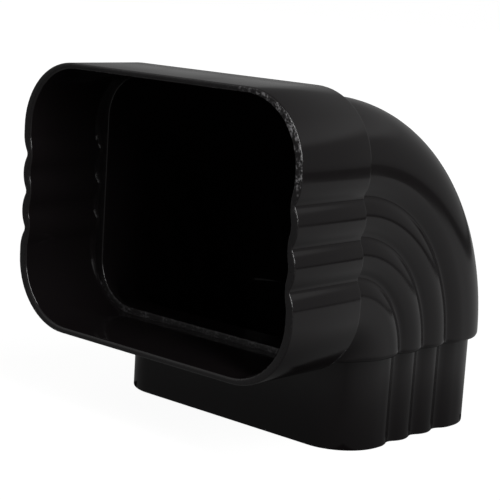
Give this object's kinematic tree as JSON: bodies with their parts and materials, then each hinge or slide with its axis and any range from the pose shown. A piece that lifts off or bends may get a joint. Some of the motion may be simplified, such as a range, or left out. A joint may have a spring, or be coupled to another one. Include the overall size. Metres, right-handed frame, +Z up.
{
  "type": "downspout elbow",
  "caption": "Moulded rectangular downspout elbow: a fluted bell takes the pipe above, a quarter bend turns it down and a stepped-in spigot fits the pipe below.",
  "frame": {"origin": "centre of the spigot's open end, on the plane of its rim", "axes": "+Z up, out of the spigot; -Y out of the bell's mouth; +X across the fluted sides"},
  "size_m": [0.108, 0.1013, 0.1025],
  "materials": {
    "black_plastic": "moulded black vinyl, smooth satin gloss, with a rough cut rim at the mouth"
  },
  "bodies": {
    "root": {"elbow": "black_plastic"}
  },
  "joints": []
}
